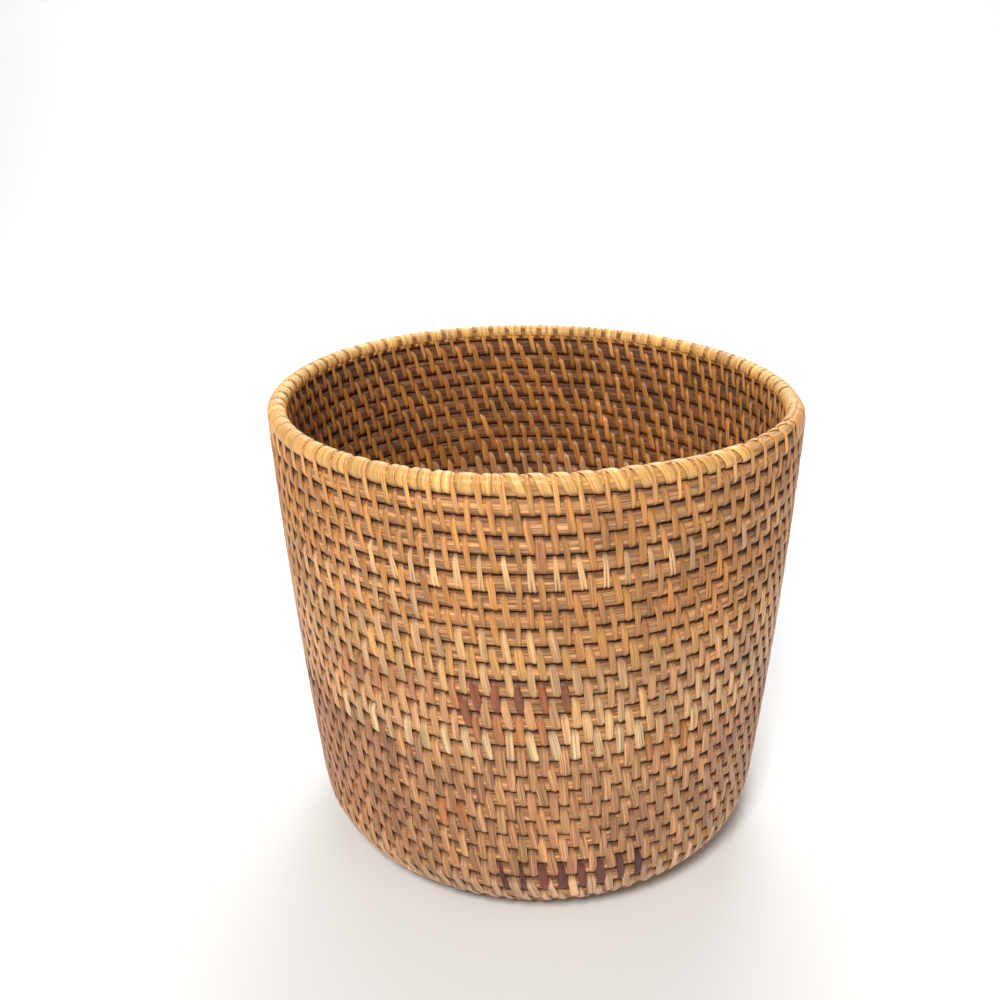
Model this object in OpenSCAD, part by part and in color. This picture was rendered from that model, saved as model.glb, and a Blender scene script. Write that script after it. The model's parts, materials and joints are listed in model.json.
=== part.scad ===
// Coiled rattan bread basket: one rising spiral of round canes, sewn row to row
// with strips of rattan peel. Origin at the middle of the resting face, +Z up.

/* [Cane] */
// Diameter of the round cane that the rows are wound from
cane_d = 7.6; // [7:0.1:7.7]
// Distance from one row to the next along the profile
row_pitch = 8.65; // [8.5:0.05:9]
// Diameter of the cane of the rim
rim_cane_d = 7.6; // [7:0.1:9]
// Lengths of cane that the wall is wound from
wall_lengths = 5; // [3:1:8]

/* [Profile] */
// Radius of the flat bottom, at the cane's centre line
flat_r = 87.6; // [70:0.1:100]
// Radius of the rounded edge between bottom and wall, at the cane's centre line
corner_r = 26.2; // [24:0.1:34]
// Slope of the wall where it leaves the rounded edge, in degrees from flat
wall_foot_angle = 84.65; // [80:0.05:88]
// Radius of the wall's slight outward bow
wall_bow_r = 3080; // [1800:10:4000]
// Rows in the flat bottom, the rounded edge and the wall, without the rim
rows = 37; // [30:1:40]
// Direction in which the rim's tail ends, in degrees from +X
seam_angle = -12; // [-180:1:180]

/* [Binding] */
// Thickness of the peel strip
strip_t = 0.8; // [0.6:0.05:0.8]
// Width of the peel strip
strip_w = 2.6; // [2:0.1:3]
// Stitches in one course of the wall; each stands for two or three of the real ones
wall_stitches = 36; // [27, 36, 45]
// Lean of a stitch away from upright, in degrees
stitch_lean = 9.7; // [8:0.1:12]
// Width of a filler wrap on the rim
filler_w = 4.6; // [3:0.1:5]

/* [Hidden] */

cane_r = cane_d / 2;
rim_r = rim_cane_d / 2;
// Room between a strip and the cane that it wraps
fit = 0.02;
loop_t = strip_t + fit;
// Step between one half turn of cane and the next
joint_step = 0.02;
// Arc length of the spiral's first point, just off the centre
start_s = 4;
// Height of the bottom canes above the resting face
base_z = cane_r + loop_t;
// Ends of the flat bottom and of the rounded edge, as arc lengths
corner_s = flat_r;
wall_s = flat_r + corner_r * wall_foot_angle * PI / 180;
// The rim starts here: its centre is raised by any extra radius of its cane
rim_s = start_s + rows * row_pitch + rim_r - cane_r;
rim_pitch = row_pitch + rim_cane_d - cane_d;
// Half turns at which one length of cane ends and the next begins
corner_start = 20;
wall_start = 30;
rim_start = 2 * rows;
spiral_end = rim_start + 2;
// The rim's tail is pared down over this angle, and this much is left at its tip
tail_angle = 58;
tail_tip = 1.6;
// Close turns of strip that hold the tip of the tail down, before and after the seam
tail_turns = 5;
start_turns = 4;
close_spacing = 1.7;
// Filler wraps between two stitches of the rim
fillers = 3;

function binding_name(k) = str("binding_", k < 10 ? "0" : "", k);
function wall_cane_name(i) = str("wall_cane_", i);
// Half turn at which wall cane i ends, with i = 0 for the start of the first
function wall_split(i) = wall_start + round(i * (rim_start - wall_start) / wall_lengths);

// Profile of the basket at arc length s from the centre: [radius, height]
function profile(s) =
    s <= corner_s ? [s, base_z]
    : s <= wall_s ? edge_point((s - corner_s) / corner_r * 180 / PI)
    : wall_point(wall_foot_angle + (s - wall_s) / wall_bow_r * 180 / PI);
function edge_point(a) = [flat_r + corner_r * sin(a), base_z + corner_r * (1 - cos(a))];
function wall_point(a) = edge_point(wall_foot_angle)
    + wall_bow_r * [sin(a) - sin(wall_foot_angle), cos(wall_foot_angle) - cos(a)];

// The spiral crosses the plane of the seam after each half turn, on alternate sides
function crossing(j, s) = let (p = profile(s)) [j % 2 == 0 ? p[0] : -p[0], 0, p[1]];
function row_s(j) = j > rim_start ? rim_s + (j - rim_start) * rim_pitch / 2
    : start_s + j * row_pitch / 2;
function half_ends(j) = [
    crossing(j, j == rim_start ? rim_s : row_s(j)),
    crossing(j + 1, row_s(j + 1))];

// A point of the spiral's centre line, w half turns from its start
function spiral_point(w) = let (
        j = min(floor(w), spiral_end - 1),
        ends = half_ends(j),
        mid = (ends[0] + ends[1]) / 2,
        arm = ends[0] - mid,
        side = j % 2 == 0 ? 1 : -1,
        a = 180 * (w - j))
    mid + cos(a) * arm + sin(a) * norm(arm) * [0, side, 0];

// One half turn of cane: a half torus on the line between its two crossings.
// Odd ones are a hair thinner, so that the ends meet with a clean step.
module half_turn(j, r) {
    ends = half_ends(j);
    side = j % 2 == 0 ? 1 : -1;
    arm = side * (ends[0] - ends[1]) / 2;
    translate((ends[0] + ends[1]) / 2)
        rotate([0, -atan2(arm[2], arm[0]), 0])
            rotate([0, 0, side > 0 ? 0 : 180])
                rotate_extrude(angle = 180, $fn = 144)
                    translate([norm(arm), 0])
                        circle(side > 0 ? r : r - joint_step, $fn = 48);
}

// One length of cane: the half turns from j0 up to j1, joined end to end
module cane(j0, j1, r = cane_r) {
    rotate([0, 0, seam_angle])
        for (j = [j0:j1 - 1])
            half_turn(j, r);
}

module base_cane() {
    color("rosybrown") cane(0, corner_start);
}

module corner_cane() {
    color("tan") cane(corner_start, wall_start);
}

module wall_cane(i) {
    color(i % 2 == 0 ? "rosybrown" : "tan") cane(wall_split(i - 1), wall_split(i));
}

// The last turn, with its tail pared down to a long scarf
module rim_cane() {
    color("tan")
        difference() {
            cane(rim_start, spiral_end, rim_r);
            rotate([0, 0, seam_angle]) scarf();
        }
}

// Everything above the scarf's sloping face
module scarf() {
    from = spiral_point(spiral_end - tail_angle / 180);
    tip = spiral_point(spiral_end);
    drop = from[2] + rim_r - (tip[2] - rim_r + tail_tip);
    half_run = tip[0] * sin(tail_angle / 2);
    rotate([0, 0, -tail_angle / 2])
        translate([tip[0] * cos(tail_angle / 2), 0, from[2] + rim_r - drop / 2])
            rotate([-atan(drop / half_run / 2), 0, 0])
                translate([-6 * rim_r, -half_run - rim_r, 0])
                    cube([12 * rim_r, 2 * (half_run + rim_r), 6 * rim_r]);
}

// Height of the rim cane's top above its centre line: less along the pared tail
function rim_top(w) = let (left = (spiral_end - w) * 180 / tail_angle)
    left >= 1 ? rim_r : tail_tip - rim_r + left * (2 * rim_r - tail_tip);

// Frame of a stitch: X up the profile from the lower row, Z into the basket
module sewn(w) {
    low = spiral_point(w);
    rise = spiral_point(w + 2) - low;
    heading = atan2(low[1], low[0]);
    outward = rise[0] * cos(heading) + rise[1] * sin(heading);
    rotate([0, 0, seam_angle])
        translate(low)
            rotate([0, -atan2(rise[2], outward), heading])
                translate([norm(rise) / 2, 0, 0])
                    rotate([0, 0, -stitch_lean])
                        translate([-norm(rise) / 2, 0, 0])
                            children();
}

// Distance between the two rows that a stitch wraps
function row_gap(w) = norm(spiral_point(w + 2) - spiral_point(w));

// Loop of strip round two rows: it reaches from -below to +above along X
module loop(below, above, side, width) {
    rotate([90, 0, 0])
        linear_extrude(width, center = true)
            difference() {
                translate([-below - loop_t, -side - loop_t])
                    square([below + above + 2 * loop_t, 2 * (side + loop_t)]);
                translate([-below - fit, -side - fit])
                    square([below + above + 2 * fit, 2 * (side + fit)]);
            }
}

// Stitches in the course from row k to row k + 1, which grows towards the wall
function course_stitches(k) =
    k == 1 ? 2
    : k == 2 ? wall_stitches / 9
    : k < 8 ? floor(wall_stitches / 3)
    : wall_stitches;
// Neighbouring courses are staggered by half a stitch
function stitch_w(k, i) = 2 * (k - 1) + 2 * (i + (k % 2) / 2) / course_stitches(k);

// Each course has the tone of its own strip, counted down from the rim
function course_tone(k) = let (down = rows - k)
    down == 14 ? "antiquewhite"
    : down == 23 ? "maroon"
    : down == 11 || down == 12 ? "sienna"
    : down > 15 ? "burlywood"
    : "goldenrod";

module binding(k) {
    color(course_tone(k))
        for (i = [0:course_stitches(k) - 1]) {
            w = stitch_w(k, i);
            sewn(w) loop(cane_r, row_gap(w) + cane_r, cane_r, strip_w);
        }
}

// Sews the rim cane to the last row, and follows the pared tail down
module rim_loop(w) {
    sewn(w) loop(cane_r, row_gap(w) + rim_top(w + 2), rim_r, strip_w);
}

module rim_stitches() {
    color("wheat")
        for (i = [0:wall_stitches - 2])
            rim_loop(stitch_w(rows, i));
}

// Wrap round the rim cane alone
module rim_wrap(w, width) {
    p = spiral_point(w);
    rotate([0, 0, seam_angle])
        translate(p)
            rotate([90, 0, atan2(p[1], p[0])])
                linear_extrude(width, center = true)
                    difference() {
                        circle((rim_r + loop_t) / cos(22.5), $fn = 8);
                        circle((rim_r + fit) / cos(22.5), $fn = 8);
                    }
}

module rim_wraps() {
    step = 2 / wall_stitches;
    whole = floor((2 - tail_angle / 180) / step);
    color("cornsilk")
        for (i = [1:whole - 1])
            for (f = [1:fillers])
                rim_wrap(stitch_w(rows, i) + 2 + step * (f / (fillers + 1) - 1), filler_w);
}

module tail_binding() {
    close_step = close_spacing * strip_w / (PI * spiral_point(rim_start)[0]);
    color("wheat") {
        for (i = [1:tail_turns])
            rim_loop(rim_start - i * close_step);
        for (i = [1:start_turns])
            rim_wrap(rim_start + i * close_step, strip_w);
    }
}

base_cane();
corner_cane();
for (i = [1:wall_lengths])
    wall_cane(i);
rim_cane();
for (k = [1:rows - 1])
    binding(k);
rim_stitches();
rim_wraps();
tail_binding();
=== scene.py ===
"""A coiled rattan bread basket: canes wound in one rising spiral and sewn with strips of peel.

Every length is in metres. The spiral here is the one that the CAD model is built on, and the
sewing strips, the wraps of the rim and the lie of the fibres are worked out along it.
"""

import json
import math

import bpy
import numpy as np
from mathutils import Matrix, Vector

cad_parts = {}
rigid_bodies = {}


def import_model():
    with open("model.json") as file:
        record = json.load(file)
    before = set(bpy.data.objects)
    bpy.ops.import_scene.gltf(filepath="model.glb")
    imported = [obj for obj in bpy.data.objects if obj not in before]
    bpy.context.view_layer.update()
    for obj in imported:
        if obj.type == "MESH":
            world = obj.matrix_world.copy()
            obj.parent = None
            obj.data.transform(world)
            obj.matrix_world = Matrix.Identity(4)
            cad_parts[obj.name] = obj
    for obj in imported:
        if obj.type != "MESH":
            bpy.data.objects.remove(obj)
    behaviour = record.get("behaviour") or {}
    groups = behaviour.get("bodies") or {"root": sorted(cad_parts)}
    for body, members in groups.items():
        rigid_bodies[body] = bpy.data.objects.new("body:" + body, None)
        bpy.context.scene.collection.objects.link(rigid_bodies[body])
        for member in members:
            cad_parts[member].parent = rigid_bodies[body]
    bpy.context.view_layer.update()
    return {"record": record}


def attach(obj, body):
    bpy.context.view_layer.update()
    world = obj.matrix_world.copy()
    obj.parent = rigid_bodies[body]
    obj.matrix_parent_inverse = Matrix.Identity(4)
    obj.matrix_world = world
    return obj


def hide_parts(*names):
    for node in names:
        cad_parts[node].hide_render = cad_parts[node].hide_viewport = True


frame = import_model()

MM = 0.001

# The cane and its rows. The spiral is counted in half turns from START_S; its own first half turn
# closes the middle of the bottom
CANE_R = 3.8 * MM
ROW_PITCH = 8.65 * MM
ROWS = 37
START_S = 4 * MM
COIL_START = -1
SEAM = math.radians(-12)

# The profile that the rows follow: flat bottom, rounded edge, slightly bowed wall
FLAT_R = 87.6 * MM
CORNER_R = 26.2 * MM
WALL_FOOT = math.radians(84.65)
WALL_BOW_R = 3080 * MM
CORNER_S = FLAT_R
WALL_S = FLAT_R + CORNER_R * WALL_FOOT

# The strip of peel, and the stitches made with it: 80 to a turn from the twelfth course upwards.
# A stitch leans along the row by LEAN outside, and by INSIDE_LEAN of what is left inside
STRIP_T = 0.8 * MM
FIT = 0.02 * MM
WRAP_R = CANE_R + FIT + STRIP_T / 2
BASE_Z = CANE_R + FIT + STRIP_T
STITCHES = 80
LEAN = 2.9 * MM
INSIDE_LEAN = 0.5
STITCH_SPACING = 9.5 * MM

# The rim: the spiral's last turn, whose tail is pared down over so many degrees
RIM_START = 2 * ROWS
SPIRAL_END = RIM_START + 2
TAIL_ANGLE = 58
TAIL_TIP = 1.8 * MM

rng = np.random.default_rng(20)


def tone(red, green, blue):
    """A linear colour from the 0 to 255 values of a paint chip."""
    chip = np.array([red, green, blue]) / 255
    return np.where(chip < 0.04045, chip / 12.92, ((chip + 0.055) / 1.055) ** 2.4)


GOLDEN = tone(195, 133, 69)
AMBER = tone(190, 124, 60)
STRAW = tone(228, 173, 99)
PALE_STRAW = tone(218, 172, 118)
TAN_WITH_SIDE_SHADE = tone(184, 126, 84)
PALE_GREY = tone(208, 160, 108)
CREAM = tone(228, 188, 138)
TAN = tone(202, 147, 98)
PINK_TAN = tone(194, 136, 92)
RUSSET = tone(142, 80, 46)
ORANGE = tone(188, 118, 66)
MAROON = tone(110, 56, 48)
YELLOW = tone(206, 150, 82)
RIM_GOLD = tone(224, 161, 90)
RUSSET_GOLD = tone(190, 124, 76)
DARK_RUSSET = tone(144, 80, 42)
CREAM_TAN = tone(220, 172, 130)


# ---------------------------------------------------------------- the spiral

def profile(s):
    """Radius and height of the rows' centre line at arc length s from the middle."""
    s = np.asarray(s, float)
    edge = np.clip((s - CORNER_S) / CORNER_R, 0, WALL_FOOT)
    wall = WALL_FOOT + np.maximum(s - WALL_S, 0) / WALL_BOW_R
    radius = np.minimum(s, FLAT_R) + CORNER_R * np.sin(edge)
    height = BASE_Z + CORNER_R * (1 - np.cos(edge))
    radius = radius + WALL_BOW_R * (np.sin(wall) - math.sin(WALL_FOOT))
    height = height + WALL_BOW_R * (math.cos(WALL_FOOT) - np.cos(wall))
    return radius, height


def crossing(j, s):
    """Where the spiral crosses the seam's plane: one side for even j, the other for odd."""
    radius, height = profile(s)
    return np.stack([np.where(j % 2 == 0, radius, -radius), 0 * radius, height], -1)


def row_s(j):
    """Arc length along the profile at which half turn j crosses the seam's plane."""
    return START_S + j * ROW_PITCH / 2


def spiral(w):
    """Point and direction of the spiral's centre line, w half turns from its start."""
    w = np.asarray(w, float)
    j = np.clip(np.floor(w), COIL_START, SPIRAL_END - 1)
    start = crossing(j, row_s(j))
    end = crossing(j + 1, row_s(j + 1))
    mid, arm = (start + end) / 2, (start - end) / 2
    reach = np.linalg.norm(arm, axis=-1, keepdims=True)
    side = np.where(j % 2 == 0, 1.0, -1.0)[..., None] * np.array([0, 1.0, 0])
    a = (math.pi * (w - j))[..., None]
    point = mid + np.cos(a) * arm + np.sin(a) * reach * side
    along = -np.sin(a) * arm / reach + np.cos(a) * side
    cos, sin = math.cos(SEAM), math.sin(SEAM)
    turn = np.array([[cos, -sin, 0], [sin, cos, 0], [0, 0, 1]])
    return point @ turn.T, along @ turn.T


def unit(v):
    return v / np.linalg.norm(v, axis=-1, keepdims=True)


def path_run(points):
    """Distance along a path at each of its points."""
    return np.concatenate([[0], np.cumsum(np.linalg.norm(np.diff(points, axis=0), axis=1))])


def stitch_frames(w):
    """Middle, axes and row gap of the stitches at w: along the row, up the profile, outwards."""
    low, along = spiral(w)
    high, _ = spiral(w + 2)
    rise = high - low
    up = unit(rise)
    along = unit(along - (along * up).sum(-1, keepdims=True) * up)
    return (low + high) / 2, along, up, np.cross(along, up), np.linalg.norm(rise, axis=-1)


def cane_frames(w):
    """Centre line, directions along, up the profile and outwards, for a length of cane."""
    centre, along = spiral(w)
    above = np.where((w + 2 <= SPIRAL_END)[:, None], spiral(w + 2)[0], centre)
    below = np.where((w >= 2)[:, None], spiral(w - 2)[0], centre)
    up = unit(above - below)
    up = unit(up - (up * along).sum(-1, keepdims=True) * along)
    return centre, along, up, np.cross(along, up)


# ---------------------------------------------------------------- meshes

def mark(mesh, label, kind, values):
    """Stores one value, vector or colour for each point of a mesh."""
    field = {"FLOAT_VECTOR": "vector", "FLOAT_COLOR": "color"}.get(kind, "value")
    dtype = np.int32 if kind == "INT" else np.float32
    layer = mesh.attributes.new(label, kind, "POINT")
    layer.data.foreach_set(field, np.array(values, dtype).ravel())


def build(name, rings, closed_uv, marks, length):
    """A tube from rings of points, with end caps, a UV map and float marks on its points."""
    count, around = rings.shape[:2]
    verts = rings.reshape(-1, 3)
    faces = []
    for i in range(count - 1):
        for k in range(around):
            n = (k + 1) % around
            faces.append((i * around + k, i * around + n, (i + 1) * around + n, (i + 1) * around + k))
    faces.append(tuple(range(around - 1, -1, -1)))
    faces.append(tuple((count - 1) * around + k for k in range(around)))
    mesh = bpy.data.meshes.new(name)
    mesh.from_pydata(verts.tolist(), [], faces)
    uv = mesh.uv_layers.new(name="UVMap")
    data = np.zeros((len(mesh.loops), 2), np.float32)
    at = 0
    for i in range(count - 1):
        for k in range(around):
            u0, u1 = closed_uv[k], closed_uv[k + 1]
            v0, v1 = length[i], length[i + 1]
            data[at:at + 4] = ((u0, v0), (u1, v0), (u1, v1), (u0, v1))
            at += 4
    data[at:] = (0.5, 0)
    uv.data.foreach_set("uv", data.ravel())
    for label, values in marks.items():
        mark(mesh, label, "FLOAT", values)
    mesh.polygons.foreach_set("use_smooth", [True] * len(mesh.polygons))
    mesh.update()
    return mesh


def add(name, mesh, material=None):
    piece = bpy.data.objects.new(name, mesh)
    bpy.context.scene.collection.objects.link(piece)
    if material:
        mesh.materials.clear()
        mesh.materials.append(material)
    return piece


def stand_for(piece, slot, *nodes):
    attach(piece, "root")
    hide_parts(*nodes)


def wobble(x, seed, size, waves=5):
    """A smooth irregular curve through x, about size high."""
    source = np.random.default_rng(seed)
    total = 0
    for n in range(waves):
        rate, phase = source.uniform(0.6, 2.2) * (n + 1), source.uniform(0, 2 * math.pi)
        total = total + np.sin(rate * x + phase) / (n + 1)
    return size * total / 1.6


# ---------------------------------------------------------------- materials

SHADE_AND_DIRT_TINT = (0.15, 0.065, 0.028)  # what the colour is multiplied by where the painted crevice shade, with some dirt, is thickest
CORE_DEEP = (0.74, 0.70, 0.66)
CORE_LIGHT = 1.12


def group(name, ins, outs):
    """A shader node group with named sockets, and its input and output nodes."""
    tree = bpy.data.node_groups.new(name, "ShaderNodeTree")
    kinds = {"f": "NodeSocketFloat", "c": "NodeSocketColor", "v": "NodeSocketVector"}
    for label, kind, *value in ins:
        socket = tree.interface.new_socket(label, in_out="INPUT", socket_type=kinds[kind])
        if value:
            socket.default_value = value[0]
    for label, kind in outs:
        tree.interface.new_socket(label, in_out="OUTPUT", socket_type=kinds[kind])
    return tree, tree.nodes.new("NodeGroupInput"), tree.nodes.new("NodeGroupOutput")


def node(tree, kind, links=None, **values):
    """Adds a node, sets its properties and default values, and links its inputs."""
    made = tree.nodes.new(kind)
    for key, value in values.items():
        if hasattr(made, key):
            setattr(made, key, value)
        else:
            made.inputs[key.replace("_", " ")].default_value = value
    for key, source in (links or {}).items():
        tree.links.new(source, made.inputs[key])
    return made


def math_node(tree, operation, a, b=None, clamp=False):
    made = tree.nodes.new("ShaderNodeMath")
    made.operation = operation
    made.use_clamp = clamp
    for i, value in enumerate((a, b)):
        if value is None:
            continue
        if isinstance(value, (int, float)):
            made.inputs[i].default_value = value
        else:
            tree.links.new(value, made.inputs[i])
    return made.outputs[0]


def scaled(tree, source, gain, base):
    """gain times a value, plus base."""
    made = math_node(tree, "MULTIPLY_ADD", source, gain)
    made.node.inputs[2].default_value = base
    return made


def mix_colour(tree, factor, a, b, blend="MIX"):
    made = tree.nodes.new("ShaderNodeMix")
    made.data_type = "RGBA"
    made.blend_type = blend
    for index, value in ((0, factor), (6, a), (7, b)):
        if isinstance(value, (int, float)):
            made.inputs[index].default_value = value
        elif isinstance(value, (tuple, list, np.ndarray)):
            made.inputs[index].default_value = (*[float(v) for v in value[:3]], 1)
        else:
            tree.links.new(value, made.inputs[index])
    return made.outputs[2]


def stretched(tree, source, low, high):
    made = tree.nodes.new("ShaderNodeMapRange")
    tree.links.new(source, made.inputs["Value"])
    made.inputs["From Min"].default_value = low
    made.inputs["From Max"].default_value = high
    return made.outputs[0]


def fibre_group():
    """Lengthwise fibres: fine lines, coarser streaks and a bump height, from a map in metres."""
    tree, given, out = group(
        "rattan_fibres",
        [("Map", "v"), ("Across", "f", 4000.0), ("Along", "f", 90.0), ("Shift", "f", 0.0)],
        [("Fine", "f"), ("Streak", "f"), ("Height", "f")])
    split = node(tree, "ShaderNodeSeparateXYZ", {0: given.outputs["Map"]})
    x = math_node(tree, "MULTIPLY", split.outputs[0], given.outputs["Across"])
    y = math_node(tree, "MULTIPLY", split.outputs[1], given.outputs["Along"])
    spot = node(tree, "ShaderNodeCombineXYZ", {0: x, 1: y, 2: given.outputs["Shift"]})
    fine = node(tree, "ShaderNodeTexNoise", {"Vector": spot.outputs[0]},
                Scale=1.0, Detail=3.0, Roughness=0.6)
    wide = node(tree, "ShaderNodeVectorMath", {0: spot.outputs[0]}, operation="MULTIPLY")
    wide.inputs[1].default_value = (0.22, 0.35, 1)
    streak = node(tree, "ShaderNodeTexNoise", {"Vector": wide.outputs[0]},
                  Scale=1.0, Detail=2.0, Roughness=0.5)
    fine, streak = (stretched(tree, made.outputs["Fac"], 0.34, 0.66) for made in (fine, streak))
    height = math_node(tree, "ADD", fine, streak)
    for label, source in (("Fine", fine), ("Streak", streak), ("Height", height)):
        tree.links.new(source, out.inputs[label])
    return tree


def mottle_and_shade_group():
    """Mottling from age and handling, and painted shade with some dirt where a surface tucks under its
    neighbour.
    """
    tree, given, out = group(
        "rattan_mottle_and_shade",
        [("Colour", "c"), ("Tuck", "f"), ("Shade_and_Dirt", "f", 0.6), ("Mottle", "f", 0.2)],
        [("Colour", "c"), ("Roughness", "f")])
    where = node(tree, "ShaderNodeTexCoord")
    at = {"Vector": where.outputs["Object"]}
    broad = node(tree, "ShaderNodeTexNoise", at, Scale=28.0, Detail=3.0)
    small = node(tree, "ShaderNodeTexNoise", at, Scale=260.0, Detail=2.0)
    centred = math_node(tree, "SUBTRACT", broad.outputs["Fac"], 0.5)
    mottle = math_node(tree, "MULTIPLY", centred, given.outputs["Mottle"])
    level = math_node(tree, "ADD", math_node(tree, "MULTIPLY", mottle, 2.0), 1.0)
    shade = node(tree, "ShaderNodeCombineXYZ", {0: level, 1: level, 2: level})
    lit = mix_colour(tree, 1.0, given.outputs["Colour"], shade.outputs[0], "MULTIPLY")
    uneven = scaled(tree, small.outputs["Fac"], 0.8, 0.6)
    # painted shade with some dirt: darker where the surface tucks under its neighbour
    reach = math_node(tree, "MULTIPLY", given.outputs["Tuck"], given.outputs["Shade_and_Dirt"])
    shade_and_dirt = math_node(tree, "MULTIPLY", reach, uneven, True)
    dark = mix_colour(tree, 1.0, lit, SHADE_AND_DIRT_TINT, "MULTIPLY")
    tree.links.new(mix_colour(tree, shade_and_dirt, lit, dark), out.inputs["Colour"])
    tree.links.new(math_node(tree, "MULTIPLY", shade_and_dirt, 0.3), out.inputs["Roughness"])
    return tree


FIBRES = fibre_group()
MOTTLE_AND_SHADE = mottle_and_shade_group()


def rattan(name, colour, across, along, contrast, rough, bump, shade_and_dirt, mottle, coat=0.0, sheen=0.0):
    """A rattan finish. With no colour, each strip's own tone is read from its mesh.

    across and along are how many noise cells there are to a metre over and along the fibres.
    """
    made = bpy.data.materials.new(name)
    made.use_nodes = True
    tree = made.node_tree
    shader = tree.nodes["Principled BSDF"]
    uv = node(tree, "ShaderNodeUVMap", uv_map="UVMap")
    shift = node(tree, "ShaderNodeAttribute", attribute_name="shift")
    fibres = node(tree, "ShaderNodeGroup", node_tree=FIBRES)
    tree.links.new(uv.outputs[0], fibres.inputs["Map"])
    tree.links.new(shift.outputs["Fac"], fibres.inputs["Shift"])
    fibres.inputs["Across"].default_value = across
    fibres.inputs["Along"].default_value = along
    if colour is None:
        own = node(tree, "ShaderNodeAttribute", attribute_name="tone").outputs["Color"]
    else:
        own = mix_colour(tree, fibres.outputs["Streak"], colour * CORE_DEEP, colour * CORE_LIGHT)
    lines = scaled(tree, fibres.outputs["Fine"], 2 * contrast, 1 - contrast)
    streaks = scaled(tree, fibres.outputs["Streak"], 1.4 * contrast, 1 - 0.7 * contrast)
    level = math_node(tree, "MULTIPLY", lines, streaks)
    shade = node(tree, "ShaderNodeCombineXYZ", {0: level, 1: level, 2: level})
    grained = mix_colour(tree, 1.0, own, shade.outputs[0], "MULTIPLY")
    # tuck marks where painted shade, with some dirt, darkens the colour
    tuck = node(tree, "ShaderNodeAttribute", attribute_name="tuck")
    mottled_and_shaded = node(tree, "ShaderNodeGroup", node_tree=MOTTLE_AND_SHADE)
    tree.links.new(grained, mottled_and_shaded.inputs["Colour"])
    tree.links.new(tuck.outputs["Fac"], mottled_and_shaded.inputs["Tuck"])
    mottled_and_shaded.inputs["Shade_and_Dirt"].default_value = shade_and_dirt
    mottled_and_shaded.inputs["Mottle"].default_value = mottle
    tree.links.new(mottled_and_shaded.outputs["Colour"], shader.inputs["Base Color"])
    matt = scaled(tree, fibres.outputs["Fine"], 0.2, rough - 0.1)
    matt = math_node(tree, "ADD", matt, mottled_and_shaded.outputs["Roughness"], True)
    tree.links.new(matt, shader.inputs["Roughness"])
    bumps = node(tree, "ShaderNodeBump", {"Height": fibres.outputs["Height"]},
                 Strength=1.0, Distance=bump)
    tree.links.new(bumps.outputs[0], shader.inputs["Normal"])
    shader.inputs["Coat Weight"].default_value = coat
    shader.inputs["Coat Roughness"].default_value = 0.35
    shader.inputs["Sheen Weight"].default_value = sheen
    return made


CANE = rattan("bare_core", tone(203, 148, 97), across=2600, along=60, contrast=0.5, rough=0.6,
              bump=0.22 * MM, shade_and_dirt=1.0, mottle=0.35, sheen=0.1)
RIM_CORE = rattan("rim_core", tone(218, 162, 94), across=2600, along=60, contrast=0.34, rough=0.6,
                  bump=0.22 * MM, shade_and_dirt=0.7, mottle=0.3, sheen=0.1)
PEEL = rattan("peel_skin", None, across=2600, along=45, contrast=0.34, rough=0.38,
              bump=0.08 * MM, shade_and_dirt=0.9, mottle=0.35, coat=0.18)
SPLIT_PEEL = rattan("split_peel", None, across=3800, along=40, contrast=0.5, rough=0.46,
                    bump=0.16 * MM, shade_and_dirt=0.9, mottle=0.3, coat=0.12)


# ---------------------------------------------------------------- canes

CANE_SIDES = 16
STEPS_PER_TURN = 320
CANE_HALF = 4.3 * MM  # half the height of a row's cane, which fills its whole pitch
CANE_SQUARE = 0.8
LUMP_LENGTH = 12 * MM
LUMP_SIZE = 0.012
PARED = 0.8  # how much of its thickness the cane has where the coil starts
# painted shade on the inner faces of canes and strips, for the darker inside of the basket
INSIDE_SHADE = 0.75
STRIP_INSIDE_SHADE = 0.1


def squared(theta, power):
    """A circle pressed towards a square, as rows of cane are by their neighbours."""
    return (np.sign(np.cos(theta)) * np.abs(np.cos(theta)) ** power,
            np.sign(np.sin(theta)) * np.abs(np.sin(theta)) ** power)


def cane_mesh(name, w0, w1, seed):
    """One length of core, a little uneven, with its fibres running along it."""
    w = np.linspace(w0, w1, int((w1 - w0) / 2 * STEPS_PER_TURN) + 1)
    centre, along, up, out = cane_frames(w)
    length = path_run(centre)
    theta = np.linspace(0, 2 * math.pi, CANE_SIDES + 1)
    pared = np.interp(w, [COIL_START, 0.3], [PARED, 1])
    uneven = (pared * (1 + wobble(length / LUMP_LENGTH, seed, LUMP_SIZE)))[:, None, None]
    across, high = squared(theta[:-1], CANE_SQUARE)
    outline = CANE_R * across[:, None] * out[:, None] + CANE_HALF * high[:, None] * up[:, None]
    rings = centre[:, None] + uneven * outline
    # painted shade: darker along the top and bottom of each cane, where it meets the rows beside it,
    # and on its inner side
    edge = np.abs(np.sin(theta[:-1])) ** 2
    tuck = np.maximum(edge, INSIDE_SHADE * (np.cos(theta[:-1]) < -0.3)) * np.ones((len(w), 1))
    shift = np.full((len(w), CANE_SIDES), seed * 3.7)
    return build(name, rings, theta * CANE_R, {"tuck": tuck, "shift": shift}, length)


CANE_ENDS = {
    "base_cane": (COIL_START, 20),
    "corner_cane": (20, 30),
    "wall_cane_1": (30, 39),
    "wall_cane_2": (39, 48),
    "wall_cane_3": (48, 56),
    "wall_cane_4": (56, 65),
    "wall_cane_5": (65, RIM_START),
}
for seed, (name, (w0, w1)) in enumerate(CANE_ENDS.items()):
    stand_for(add(name + "_core", cane_mesh(name + "_core", w0, w1, seed), CANE), "cane", name)


# ---------------------------------------------------------------- strips

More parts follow.
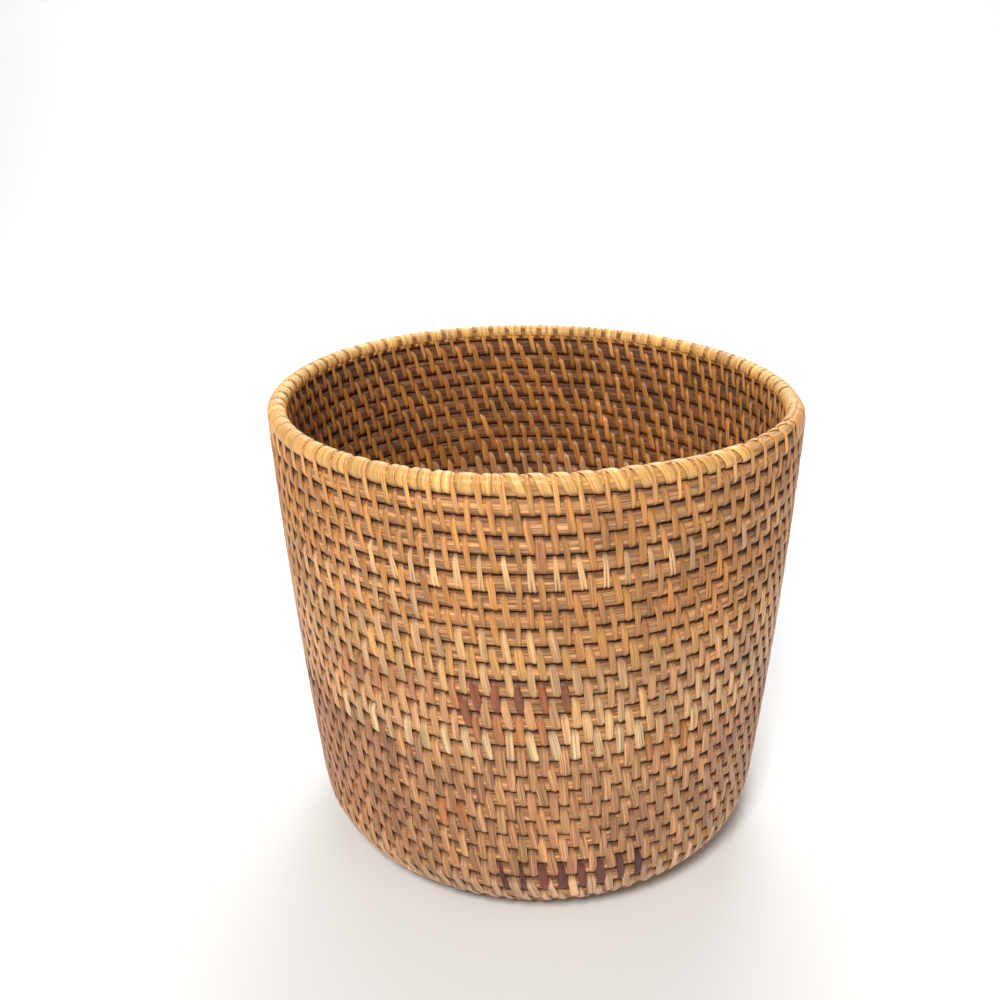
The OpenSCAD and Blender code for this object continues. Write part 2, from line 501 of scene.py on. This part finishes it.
SECTION_SIDES = 8
SECTION_UV = np.array([0, 1, 1.15, 1.3, 1.65, 1.95, 2.2, 2.35, 2.5]) / 2.5  # round the section
SECTION_GIRTH = 2.4  # its outline's length, in strip widths


def strip_section(width, dome):
    """Cross-section of a strip as (across, height), flat underneath and domed on top."""
    shoulder = 0.5 - 0.7 * dome
    return np.array([(-0.46, -0.5), (0.46, -0.5), (0.5, -0.05), (0.41, shoulder), (0.17, 0.5),
                     (-0.17, 0.5), (-0.41, shoulder), (-0.5, -0.05)]) * (width, STRIP_T)


def strip_rings(path, across, normal, section, widths):
    """Rings of a strip's section along a path, made wider or narrower as they go."""
    side = (section[:, 0] * widths[:, None])[..., None]
    return path[:, None] + side * across[:, None] + section[:, 1][:, None] * normal[:, None]


def loop_path(gap, low_r, high_r, lean, advance, high_out, arc=4, straight=3):
    """A stitch's path in its own frame (along, up, out): down the outside, then up the inside.

    It starts and ends in the gap above the upper row. advance is how far on the next stitch
    starts; the path covers lean of it outside, some inside and the rest in that gap. high_out is
    how far out it goes round the upper row, and high_r how far up.
    """
    quarter = np.linspace(0, math.pi / 2, arc + 1)
    high = np.stack([gap / 2 + high_r * np.cos(quarter), high_out * np.sin(quarter)], 1)
    low = np.stack([-gap / 2 - low_r * np.sin(quarter), low_r * np.cos(quarter)], 1)
    middle = high[-1] + (low[0] - high[-1]) * np.linspace(0, 1, straight + 1)[1:-1, None]
    outside = np.concatenate([high, middle, low])
    inside = (outside * (1, -1))[::-1][1:]
    line = np.concatenate([outside, inside])
    run = path_run(line)
    turn = len(outside) - 1
    x = np.interp(run, run[[0, turn, -1 - arc, -1]],
                  [-lean / 2, lean / 2, lean / 2 + INSIDE_LEAN * (advance - lean), advance - lean / 2])
    return np.column_stack([x, line]), run


LOW_TAPER = 0.25  # how much narrower a strip gets as it turns under the lower row


def stitch_mesh(name, gap, high_r, high_out, width, advance, dome, seed, lean=LEAN, offset=0.0,
                open_top=False):
    """One stitch round two rows whose centres are gap apart."""
    path, run = loop_path(gap, WRAP_R, high_r, lean, advance, high_out)
    path[:, 0] += offset
    forward = unit(np.gradient(path, axis=0))
    normal = unit(np.column_stack([0 * run, -np.gradient(path[:, 2]), np.gradient(path[:, 1])]))
    normal *= np.sign((normal * path).sum(1))[:, None]
    across = unit(np.cross(forward, normal))
    low_end = np.clip(-path[:, 1] / (gap / 2 + WRAP_R), 0, 1) ** 6
    widths = (1 + wobble(run / (4 * MM), seed, 0.05)) * (1 - LOW_TAPER * low_end)
    path = path + across * wobble(run / (6 * MM), seed + 50, 0.12 * MM)[:, None]
    rings = strip_rings(path, across, normal, strip_section(width, dome), widths)
    # painted shade: darker where the strip dives between the rows, and a little on the inside
    crest = (-path[:, 1] if open_top else np.abs(path[:, 1])) / (gap / 2 + high_r)
    tuck = np.clip((crest - 0.7) / 0.3, 0, 1) ** 1.5
    tuck = np.maximum(tuck, STRIP_INSIDE_SHADE * (path[:, 2] < 0))
    return strip_build(name, rings, width, tuck, run)


def strip_build(name, rings, width, tuck, run):
    """The mesh of one strip, with where painted shade and some dirt darken it marked from point to
    point of its path.
    """
    return build(name, rings, SECTION_UV * SECTION_GIRTH * width,
                 {"tuck": np.repeat(tuck[:, None], SECTION_SIDES, 1)}, run)


def joined(name, meshes):
    """Several meshes as one, keeping their UV maps and marks."""
    parts = [bpy.data.objects.new(name, mesh) for mesh in meshes]
    for part in parts:
        bpy.context.scene.collection.objects.link(part)
    with bpy.context.temp_override(active_object=parts[0], selected_editable_objects=parts):
        bpy.ops.object.join()
    mesh = parts[0].data
    bpy.data.objects.remove(parts[0])
    return mesh


VARIANTS = 3
NARROW, MIDDLE, WIDE, SPLIT = range(4)
STRIP_FORMS = {
    NARROW: {"width": 2.9 * MM, "dome": 0.75},
    MIDDLE: {"width": 3.6 * MM, "dome": 0.68},
    WIDE: {"width": 4.2 * MM, "dome": 0.58},
}
PLY_WIDTH = 1.3 * MM


def course_stitch(name, seed, **form):
    """One stitch of a course on the wall, where the rows are a full pitch apart."""
    return stitch_mesh(name, ROW_PITCH, WRAP_R, WRAP_R, advance=STITCH_SPACING, seed=seed, **form)


def split_stitch(v):
    """A stitch whose strip has split into two plies that lean apart."""
    plies = [course_stitch(f"thin_{v}{side}", 60 + 2 * v + side, width=PLY_WIDTH, dome=0.8,
                           lean=LEAN * (0.75 + 0.5 * side), offset=(-0.6 + 1.3 * side) * MM)
             for side in range(2)]
    return joined(f"stitch_{SPLIT}{v}", plies)


def stitch_kinds():
    """The stitches that the courses are sewn with, as hidden objects in one collection."""
    store = bpy.data.collections.new("stitch_kinds")
    meshes = [course_stitch(f"stitch_{kind}{v}", 10 * kind + v, **form)
              for kind, form in STRIP_FORMS.items() for v in range(VARIANTS)]
    meshes += [split_stitch(v) for v in range(VARIANTS)]
    for i, mesh in enumerate(meshes):
        store.objects.link(bpy.data.objects.new(f"stitch_kind_{i:02d}", mesh))
    return store


def sewing_tree(store):
    """Geometry Nodes: sets one stitch on every point, each a little different from the next."""
    tree = bpy.data.node_groups.new("sew_course", "GeometryNodeTree")
    face = tree.interface
    face.new_socket("Geometry", in_out="INPUT", socket_type="NodeSocketGeometry")
    inputs = (("Seed", "NodeSocketInt", 0), ("Slide", "NodeSocketFloat", 0.7 * MM),
              ("Lean Spread", "NodeSocketFloat", 0.08), ("Width Spread", "NodeSocketFloat", 0.16))
    for label, kind, value in inputs:
        face.new_socket(label, in_out="INPUT", socket_type=kind).default_value = value
    face.new_socket("Peel", in_out="INPUT", socket_type="NodeSocketMaterial")
    face.new_socket("Geometry", in_out="OUTPUT", socket_type="NodeSocketGeometry")
    given, out = tree.nodes.new("NodeGroupInput"), tree.nodes.new("NodeGroupOutput")
    link = tree.links.new

    def spread(amount, seed_step):
        """A random value from minus to plus amount, with its own seed."""
        made = tree.nodes.new("FunctionNodeRandomValue")
        link(math_node(tree, "MULTIPLY", amount, -1), made.inputs[2])
        link(amount, made.inputs[3])
        link(math_node(tree, "ADD", given.outputs["Seed"], seed_step), made.inputs["Seed"])
        return made.outputs[1]

    def named(label, kind):
        made = tree.nodes.new("GeometryNodeInputNamedAttribute")
        made.data_type = kind
        made.inputs["Name"].default_value = label
        return made.outputs[0]

    info = tree.nodes.new("GeometryNodeCollectionInfo")
    info.inputs["Collection"].default_value = store
    info.inputs["Separate Children"].default_value = True
    info.inputs["Reset Children"].default_value = True
    place = tree.nodes.new("GeometryNodeInstanceOnPoints")
    link(given.outputs["Geometry"], place.inputs["Points"])
    link(info.outputs[0], place.inputs["Instance"])
    place.inputs["Pick Instance"].default_value = True
    link(named("form", "INT"), place.inputs["Instance Index"])
    facing = tree.nodes.new("FunctionNodeEulerToRotation")
    link(named("facing", "FLOAT_VECTOR"), facing.inputs[0])
    link(facing.outputs[0], place.inputs["Rotation"])
    size = tree.nodes.new("ShaderNodeCombineXYZ")
    link(math_node(tree, "ADD", spread(given.outputs["Width Spread"], 1), 1), size.inputs[0])
    link(named("stretch", "FLOAT"), size.inputs[1])
    size.inputs[2].default_value = 1
    link(size.outputs[0], place.inputs["Scale"])
    tilt = tree.nodes.new("ShaderNodeCombineXYZ")
    link(spread(given.outputs["Lean Spread"], 2), tilt.inputs[2])
    turn = tree.nodes.new("GeometryNodeRotateInstances")
    link(place.outputs[0], turn.inputs["Instances"])
    euler = tree.nodes.new("FunctionNodeEulerToRotation")
    link(tilt.outputs[0], euler.inputs[0])
    link(euler.outputs[0], turn.inputs["Rotation"])
    slide = tree.nodes.new("ShaderNodeCombineXYZ")
    link(spread(given.outputs["Slide"], 3), slide.inputs[0])
    move = tree.nodes.new("GeometryNodeTranslateInstances")
    link(turn.outputs[0], move.inputs["Instances"])
    link(slide.outputs[0], move.inputs["Translation"])
    real = tree.nodes.new("GeometryNodeRealizeInstances")
    link(move.outputs[0], real.inputs[0])
    paint = tree.nodes.new("GeometryNodeSetMaterial")
    link(real.outputs[0], paint.inputs["Geometry"])
    link(given.outputs["Peel"], paint.inputs["Material"])
    link(paint.outputs[0], out.inputs[0])
    return tree


def course_points(name, w, forms, tones):
    """Loose points, one for each stitch, which carry how the stitch faces, its form and its tone."""
    middle, along, up, out, gap = stitch_frames(w)
    mesh = bpy.data.meshes.new(name)
    mesh.from_pydata(middle.tolist(), [], [])
    axes = np.stack([along, up, out], 2)
    mark(mesh, "facing", "FLOAT_VECTOR", [Matrix(turn.tolist()).to_euler("XYZ") for turn in axes])
    mark(mesh, "form", "INT", forms)
    mark(mesh, "stretch", "FLOAT", (gap + 2 * WRAP_R) / (ROW_PITCH + 2 * WRAP_R))
    mark(mesh, "shift", "FLOAT", rng.uniform(0, 50, len(w)))
    mark(mesh, "tone", "FLOAT_COLOR", np.column_stack([tones, np.ones(len(w))]))
    return bpy.data.objects.new(name, mesh)


def sew(name, points, tree, seed, peel):
    """Runs the sewing tree on a course's points and returns the result as a plain mesh object."""
    bpy.context.scene.collection.objects.link(points)
    maker = points.modifiers.new("sew", "NODES")
    maker.node_group = tree
    keys = {item.name: item.identifier for item in tree.interface.items_tree if item.in_out == "INPUT"}
    maker[keys["Seed"]] = seed
    maker[keys["Peel"]] = peel
    bpy.context.view_layer.update()
    graph = bpy.context.evaluated_depsgraph_get()
    mesh = bpy.data.meshes.new_from_object(points.evaluated_get(graph),
                                           preserve_all_data_layers=True, depsgraph=graph)
    mesh.name = name
    bpy.data.objects.remove(points)
    return add(name, mesh)


# Where strips of other tones and kinds run, as bearings in degrees counted from the front, for the
# course so many rows below the rim. The deep tan at both sides of courses 15 to 22 is partly the
# strips' own darker tone and partly painted shade, darker where the sides turn away from the light
PATCHES = {
    3: [(0, 6, RUSSET_GOLD, MIDDLE)],
    4: [(-40, 34, PALE_STRAW, SPLIT), (40, 75, PALE_GREY, NARROW)],
    5: [(26, 60, AMBER, SPLIT)],
    6: [(-70, -20, PALE_GREY, NARROW), (18, 40, AMBER, SPLIT)],
    8: [(-60, 4, PALE_GREY, MIDDLE), (20, 50, AMBER, NARROW)],
    9: [(-75, 75, YELLOW, MIDDLE)],
    10: [(-70, 20, PALE_GREY, MIDDLE)],
    11: [(-44, -16, RUSSET_GOLD, MIDDLE), (-16, 8, DARK_RUSSET, MIDDLE)],
    12: [(-18, -14, RUSSET, MIDDLE), (8, 40, PALE_GREY, MIDDLE)],
    13: [(-16, 6, ORANGE, MIDDLE), (6, 60, PALE_GREY, WIDE)],
    14: [(-50, 22, CREAM, WIDE), (22, 75, PALE_GREY, WIDE)],
    15: [(-80, -62, DARK_RUSSET, MIDDLE), (-62, -30, TAN_WITH_SIDE_SHADE, MIDDLE), (24, 40, AMBER, MIDDLE)],
    16: [(-80, -26, TAN_WITH_SIDE_SHADE, WIDE), (40, 80, TAN_WITH_SIDE_SHADE, WIDE)],
    17: [(-80, -8, PINK_TAN, WIDE), (36, 80, TAN_WITH_SIDE_SHADE, WIDE)],
    18: [(-80, -30, TAN_WITH_SIDE_SHADE, WIDE), (-30, 20, PINK_TAN, WIDE), (40, 80, TAN_WITH_SIDE_SHADE, WIDE)],
    19: [(-80, -34, TAN_WITH_SIDE_SHADE, WIDE), (-24, -16, ORANGE, WIDE)],
    20: [(-80, -24, TAN_WITH_SIDE_SHADE, WIDE), (-24, 30, PINK_TAN, WIDE), (36, 80, TAN_WITH_SIDE_SHADE, WIDE)],
    21: [(-80, -30, TAN_WITH_SIDE_SHADE, WIDE)],
    22: [(-80, -26, TAN_WITH_SIDE_SHADE, WIDE), (-26, 10, PINK_TAN, WIDE), (40, 80, TAN_WITH_SIDE_SHADE, WIDE)],
    23: [(-8, 1, MAROON, SPLIT), (1, 28, MAROON, WIDE)],
    24: [(-80, 80, CREAM_TAN, WIDE)],
    25: [(-80, 80, CREAM_TAN, WIDE)],
}
FULL_COURSE = 11  # the courses above this one have the full count of stitches
TONE_SPREAD = 0.1
HUE_SPREAD = (0.01, 0, -0.04)
GOLDEN_ROWS = 9
NARROW_ROWS = 8
MIDDLE_ROWS = 14


def bearing(point):
    """Degrees round the basket from the front, positive to the right."""
    return np.degrees(np.arctan2(point[..., 0], -point[..., 1]))


def course_strips(down, azimuth):
    """Tone and kind of the strip at each stitch, for the course so many rows below the rim."""
    n = len(azimuth)
    tones = np.tile(GOLDEN if down < GOLDEN_ROWS else TAN, (n, 1))
    kinds = np.full(n, NARROW if down < NARROW_ROWS else MIDDLE if down < MIDDLE_ROWS else WIDE)
    for low, high, colour, kind in PATCHES.get(down, []):
        here = (azimuth >= low) & (azimuth < high)
        tones[here] = colour
        kinds[here] = kind
    return tones, kinds


def stitch_count(k):
    """Stitches in course k: fewer in the bottom, so that they stay about as far apart."""
    radius = float(profile(START_S + (k - 0.5) * ROW_PITCH)[0])
    return STITCHES if k > FULL_COURSE else max(3, round(2 * math.pi * radius / STITCH_SPACING))


def course_slot(k):
    """The record's material slot for course k."""
    rows = frame["record"]["subparts"]
    return {row["node"]: row["material_slot"] for row in rows}[f"binding_{k:02d}"]


def course_piece(k, tree):
    """All the stitches of course k, which sews row k to the row under it."""
    n = stitch_count(k)
    down = ROWS - k
    w = 2 * (k - 1) + 2 * (np.arange(n) + (k % 2) / 2) / n
    tones, kinds = course_strips(down, bearing(spiral(w)[0]))
    shade = rng.normal(1, TONE_SPREAD, (n, 1))
    tones = tones * shade * (1 + rng.normal(0, 1, (n, 1)) * HUE_SPREAD)
    forms = kinds * VARIANTS + rng.integers(0, VARIANTS, n)
    name = f"binding_{k:02d}_strip"
    points = course_points(name, w, forms, np.clip(tones, 0, 1))
    return sew(name, points, tree, 11 * k, PEEL if down < MIDDLE_ROWS else SPLIT_PEEL)


kinds_store = stitch_kinds()
sewing = sewing_tree(kinds_store)
for k in range(1, ROWS):
    stand_for(course_piece(k, sewing), course_slot(k), f"binding_{k:02d}")


# ---------------------------------------------------------------- rim

RIM_STEPS = 640
RIM_SIDES = 20
RIM_SQUARE = 0.9
RIM_BOTTOM = CANE_HALF + 0.1 * MM
RIM_LUMP_LENGTH = 2.6 * MM
RIM_LUMP_SIZE = 0.012
TAIL_LUMP_SIZE = 0.05
RIM_STITCH_W = 2.3 * MM
RIM_RING_DOME = 0.35
RIM_RADIUS = 124.5 * MM  # of the circle that the rim's stitches are spaced on
STEP = 2 / STITCHES  # half turns from one rim stitch to the next
SPACING = 2 * math.pi * RIM_RADIUS / STITCHES
SLANTED = (-7, 42)  # bearings between which the rim's wraps are single and slant
BARE = (42, 78)  # and between which there are none
WRAP_ROOM = SPACING - 2.5 * MM  # what a rim stitch leaves free before the next one
TAIL_LOOPS = 9
TAIL_RINGS = 8


def tail_left(w):
    """How much of the tail is still ahead: 1 or more before it starts, 0 at its tip."""
    return (SPIRAL_END - np.asarray(w)) * 180 / TAIL_ANGLE


def rim_top(w):
    """How far the rim cane's top is from its centre line, which is less along the tail."""
    ease = np.clip(tail_left(w), 0, 1) ** 0.8
    return TAIL_TIP - CANE_R + ease * (2 * CANE_R - TAIL_TIP)


def rim_width(top):
    """Half the rim cane's thickness from inside to outside, a little less along the tail."""
    return CANE_R * (0.6 + 0.4 * (top + CANE_R) / 2 / CANE_R)


def rim_core_mesh():
    """The rim cane, pared along its tail and lumpiest there."""
    w = np.linspace(RIM_START, SPIRAL_END, RIM_STEPS)
    centre, along, up, out = cane_frames(w)
    length = path_run(centre)
    theta = np.linspace(0, 2 * math.pi, RIM_SIDES + 1)
    across, high = squared(theta[:-1], RIM_SQUARE)
    top = rim_top(w)
    lump_size = RIM_LUMP_SIZE + TAIL_LUMP_SIZE * np.clip(1.5 - tail_left(w), 0, 1)
    lumps = 1 + wobble(length / RIM_LUMP_LENGTH, 5, lump_size)
    tall = ((top + RIM_BOTTOM) / 2 * lumps)[:, None, None] * high[:, None]
    wide = (rim_width(top) * lumps)[:, None, None] * across[:, None]
    middle = centre + ((top - RIM_BOTTOM) / 2)[:, None] * up
    rings = middle[:, None] + tall * up[:, None] + wide * out[:, None]
    # painted shade: darker under the rim cane and on its inner side
    under = np.clip(-np.sin(theta[:-1]), 0, 1) ** 2
    tuck = np.maximum(under, INSIDE_SHADE * (np.cos(theta[:-1]) < -0.5)) * np.ones((len(w), 1))
    marks = {"tuck": tuck, "shift": 0 * tuck + 4.2}
    return build("rim_cane_core", rings, theta * CANE_R, marks, length)


stand_for(add("rim_cane_core", rim_core_mesh(), RIM_CORE), "rim_cane", "rim_cane")


def placed(points, middle, along, up, out):
    """Points given in a stitch's own frame, put where that frame is."""
    return middle + points[..., :1] * along + points[..., 1:2] * up + points[..., 2:] * out


def painted(mesh, colour, seed):
    """Gives every point of a mesh one tone and one shift of its grain."""
    n = len(mesh.vertices)
    mark(mesh, "tone", "FLOAT_COLOR", np.tile([*colour, 1.0], (n, 1)))
    mark(mesh, "shift", "FLOAT", np.full(n, seed * 1.3))
    return mesh


def rim_loop(name, w, width, lean, advance, colour, seed, dome):
    """One stitch over the rim and the row under it, shaped to the rim's own height there."""
    *frames, gap = (f[0] for f in stitch_frames(np.array([w])))
    top = float(rim_top(w + 2))
    rise = (top - CANE_R) / 2
    high = max((top + CANE_R) / 2, 1.2 * MM) + FIT + STRIP_T / 2
    high_out = rim_width(top) + FIT + STRIP_T / 2
    mesh = stitch_mesh(name, float(gap) + rise, high, high_out, width, advance, dome, seed, lean,
                       open_top=True)
    points = np.array([v.co for v in mesh.vertices]) + [0, rise / 2, 0]
    mesh.vertices.foreach_set("co", placed(points, *frames).astype(np.float32).ravel())
    return painted(mesh, colour, seed)


def rim_ring(name, w, width, slant, colour, seed, lift=0.0):
    """One wrap round the rim cane alone, starting inside and crossing the top and outside."""
    frames = (f[0] for f in cane_frames(np.array([w])))
    top = float(rim_top(w))
    angle = np.linspace(-0.6 * math.pi, 1.4 * math.pi, 25)
    r = FIT + STRIP_T / 2 + lift
    y = ((top + CANE_R) / 2 + r) * np.cos(angle) + (top - CANE_R) / 2
    z = (rim_width(top) + r) * np.sin(angle)
    outside = np.clip(angle / math.pi + 0.1, 0, 1)
    inside = np.clip(-angle / math.pi, 0, 1) + np.clip(angle / math.pi - 0.9, 0, 1)
    path = np.column_stack([slant * (outside - inside - 0.5), y, z])
    normal = unit(np.column_stack([0 * angle, np.cos(angle), np.sin(angle)]))
    across = unit(np.cross(unit(np.gradient(path, axis=0)), normal))
    widths = 1 + wobble(angle * 2, seed, 0.03)
    rings = strip_rings(path, across, normal, strip_section(width, RIM_RING_DOME), widths)
    # painted shade: darker on the underside of the wrap
    tuck = np.clip(-np.cos(angle), 0, 1) ** 2
    mesh = strip_build(name, placed(rings, *frames), width, tuck, path_run(path))
    return painted(mesh, colour, seed)


def wraps_after(i, w):
    """The wraps between rim stitch i, whose top is at w, and the next: slanted, upright or none."""
    at = float(bearing(spiral(np.array([w]))[0][0]))
    middle = w + 0.5 * STEP
    if SLANTED[0] <= at < SLANTED[1]:
        colour = STRAW * rng.normal(0.97, 0.05)
        return [rim_ring("rim_wrap", middle, 4.8 * MM, 6 * MM, colour, 400 + i, lift=0.3 * MM)]
    if BARE[0] <= at < BARE[1]:
        return []
    parts = rng.choice([1, 2, 2, 2])
    wraps = []
    for p in range(parts):
        here = middle + ((p + 0.5) / parts - 0.5) * WRAP_ROOM / SPACING * STEP
        colour = STRAW * rng.normal(1, 0.05)
        width = WRAP_ROOM / parts * 0.99
        wraps.append(rim_ring("rim_wrap", here, width, 0.8 * MM, colour, 400 + 3 * i + p))
    return wraps


def rim_sewing():
    """The rim's stitches, which stop short of the tail's tip, and the wraps between them."""
    stitches, wraps = [], []
    for i in range(STITCHES - 1):
        w = RIM_START - 2 + (i + (ROWS % 2) / 2) * STEP
        jitter = rng.normal(0, 0.03) * STEP
        if SPIRAL_END - (w + 2) < 3 * STEP:
            continue
        golden = RIM_GOLD * rng.normal(1, 0.05)
        width = RIM_STITCH_W * rng.normal(1, 0.07)
        stitches.append(rim_loop("rim_stitch", w + jitter, width, LEAN, SPACING, golden, 200 + i, 0.7))
        wraps += wraps_after(i, w + 2)
    return stitches, wraps


def tail_turns():
    """Close turns over the tail's tip, and rings round the start of the rim cane beside it."""
    turns = []
    for i in range(TAIL_LOOPS):
        w = SPIRAL_END - (i + 0.4) * 0.34 * STEP
        colour = RIM_GOLD * rng.normal(0.93, 0.06)
        turns.append(rim_loop("tail_turn", w - 2, 2.9 * MM, 1.6 * MM, 3 * MM, colour, 700 + i, 0.6))
    for i in range(TAIL_RINGS):
        w = RIM_START + (i + 0.5) * 0.33 * STEP
        colour = STRAW * rng.normal(0.95, 0.06)
        turns.append(rim_ring("tail_turn", w, 3.2 * MM, 0.8 * MM, colour, 760 + i))
    return turns


rim_stitches, rim_wraps = rim_sewing()
rim_meshes = {"rim_stitches": rim_stitches, "rim_wraps": rim_wraps, "tail_binding": tail_turns()}
for node_name, meshes in rim_meshes.items():
    piece = add(node_name + "_strip", joined(node_name + "_strip", meshes), PEEL)
    stand_for(piece, "rim_peel", node_name)

for kind in list(kinds_store.objects):
    bpy.data.objects.remove(kind)
bpy.data.collections.remove(kinds_store)


# ---------------------------------------------------------------- stage

FLOOR_REACH = 3.0
FLOOR_BACK = 1.4  # where the floor starts to curve up into the backdrop
FLOOR_CURVE = 0.5
FLOOR_COLOUR = (0.84, 0.855, 0.867, 1)
WORLD_COLOUR = (1, 0.98, 0.95, 1)
WORLD_STRENGTH = 0.26

CAMERA_PLACE = Vector((0.0015, -0.5313, 0.3991))
CAMERA_PITCH = 0.4026
CAMERA_YAW = -0.0371
CAMERA_ROLL = -0.0173
CAMERA_LENS = 40.3


def floor():
    """A sheet of paper that runs out behind the basket and curves up into the backdrop."""
    mesh = bpy.data.meshes.new("floor")
    curve = [(FLOOR_BACK + FLOOR_CURVE * math.sin(a), FLOOR_CURVE * (1 - math.cos(a)))
             for a in np.linspace(0.1, math.pi / 2, 12)]
    line = [(-FLOOR_REACH, 0), (FLOOR_BACK, 0), *curve, (FLOOR_BACK + FLOOR_CURVE, FLOOR_REACH)]
    verts = [(x, y, z) for y, z in line for x in (-FLOOR_REACH, FLOOR_REACH)]
    faces = [(2 * i, 2 * i + 1, 2 * i + 3, 2 * i + 2) for i in range(len(line) - 1)]
    mesh.from_pydata(verts, [], faces)
    mesh.polygons.foreach_set("use_smooth", [True] * len(mesh.polygons))
    paint = bpy.data.materials.new("floor_paper")
    paint.use_nodes = True
    shader = paint.node_tree.nodes["Principled BSDF"]
    shader.inputs["Base Color"].default_value = FLOOR_COLOUR
    shader.inputs["Roughness"].default_value = 0.85
    add("floor", mesh, paint)


def light(name, place, aim, size, power, colour):
    """A round lamp of a given size across, which faces aim."""
    lamp = bpy.data.lights.new(name, "AREA")
    lamp.shape = "DISK"
    lamp.size = size
    lamp.energy = power
    lamp.color = colour
    holder = bpy.data.objects.new(name, lamp)
    holder.location = place
    holder.rotation_euler = (Vector(aim) - Vector(place)).to_track_quat("-Z", "Y").to_euler()
    bpy.context.scene.collection.objects.link(holder)


def studio_world():
    """An even, slightly warm light from all round."""
    world = bpy.data.worlds.new("studio")
    world.use_nodes = True
    background = world.node_tree.nodes["Background"]
    background.inputs[0].default_value = WORLD_COLOUR
    background.inputs[1].default_value = WORLD_STRENGTH
    bpy.context.scene.world = world


def set_camera():
    """The camera looks down at the front, from a little above the rim."""
    lens = bpy.data.cameras.new("camera")
    lens.lens = CAMERA_LENS
    camera = bpy.data.objects.new("camera", lens)
    ahead = Vector((math.sin(CAMERA_YAW) * math.cos(CAMERA_PITCH),
                    math.cos(CAMERA_YAW) * math.cos(CAMERA_PITCH),
                    -math.sin(CAMERA_PITCH)))
    right = Vector((math.cos(CAMERA_YAW), -math.sin(CAMERA_YAW), 0))
    above = right.cross(ahead)
    cos, sin = math.cos(CAMERA_ROLL), math.sin(CAMERA_ROLL)
    right, above = right * cos + above * sin, above * cos - right * sin
    camera.matrix_world = Matrix((right, above, -ahead)).transposed().to_4x4()
    camera.location = CAMERA_PLACE
    bpy.context.scene.collection.objects.link(camera)
    bpy.context.scene.camera = camera


floor()
light("key", (-0.32, -1.25, 1.5), (0, 0, 0.12), 0.5, 29, (1, 0.98, 0.94))
light("fill", (1.3, -0.9, 0.8), (0, 0, 0.1), 1.2, 0.9, (1, 0.98, 0.95))
light("back", (0.2, 1.2, 1.4), (0, 0, 0.1), 1.0, 12, (1, 1, 1))
light("backdrop", (0, 0.7, 1.6), (0, 1.9, 0.5), 1.2, 25, (1, 1, 1))
studio_world()
bpy.context.scene.view_settings.view_transform = "Standard"
set_camera()
